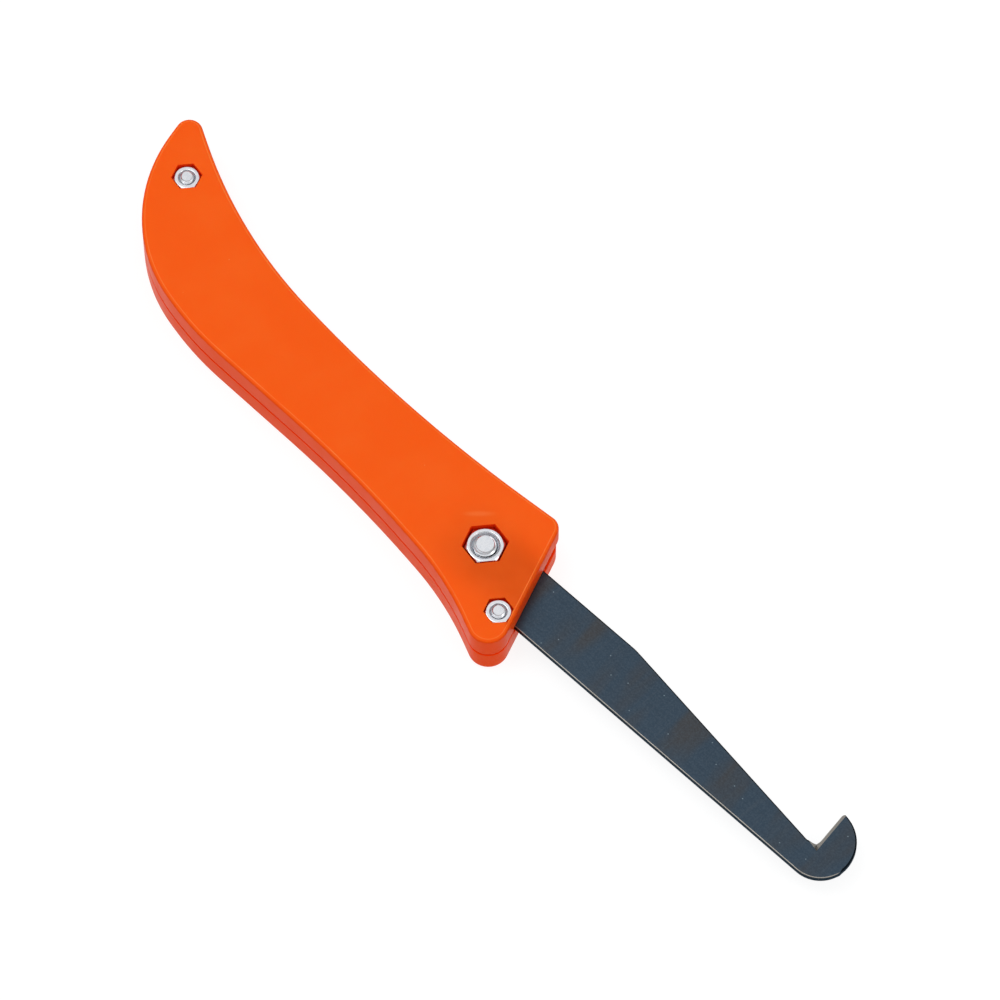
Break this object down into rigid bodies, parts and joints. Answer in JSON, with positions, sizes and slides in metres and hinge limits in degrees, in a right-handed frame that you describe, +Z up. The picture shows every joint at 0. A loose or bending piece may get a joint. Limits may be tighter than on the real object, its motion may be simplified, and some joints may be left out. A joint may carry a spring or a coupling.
{
  "type": "folding hook knife",
  "caption": "Folding hook knife: hooked blued-steel blade that pivots into a slim curved two-part plastic handle held by screws and hex nuts.",
  "frame": {"origin": "on the back face that the knife lies on, in the middle of the grip, 50 mm behind and 6 mm below the pivot axis", "axes": "+X along the handle from the tail towards the open blade's hook, +Z up through the thickness to the side with the nuts, +Y across the handle towards the edge that the blade folds into"},
  "size_m": [0.2317, 0.0471, 0.013],
  "materials": {
    "orange_plastic": "satin moulded plastic, slightly translucent",
    "blued_steel": "blued spring steel, with a bright ground edge",
    "zinc_steel": "bright zinc plate"
  },
  "bodies": {
    "handle": {"front_scale": "orange_plastic", "back_scale": "orange_plastic", "pivot_bolt": "zinc_steel", "pivot_nut": "zinc_steel", "stop_screw": "zinc_steel", "stop_nut": "zinc_steel", "tail_screw": "zinc_steel", "tail_nut": "zinc_steel"},
    "blade": {"blade": "blued_steel"}
  },
  "joints": [
    {"name": "blade_pivot", "type": "hinge", "parent": "handle", "child": "blade", "pos_m": [0.05, 0.006, 0.0065], "axis": [0, 0, 1], "range_deg": [0, 171]}
  ]
}
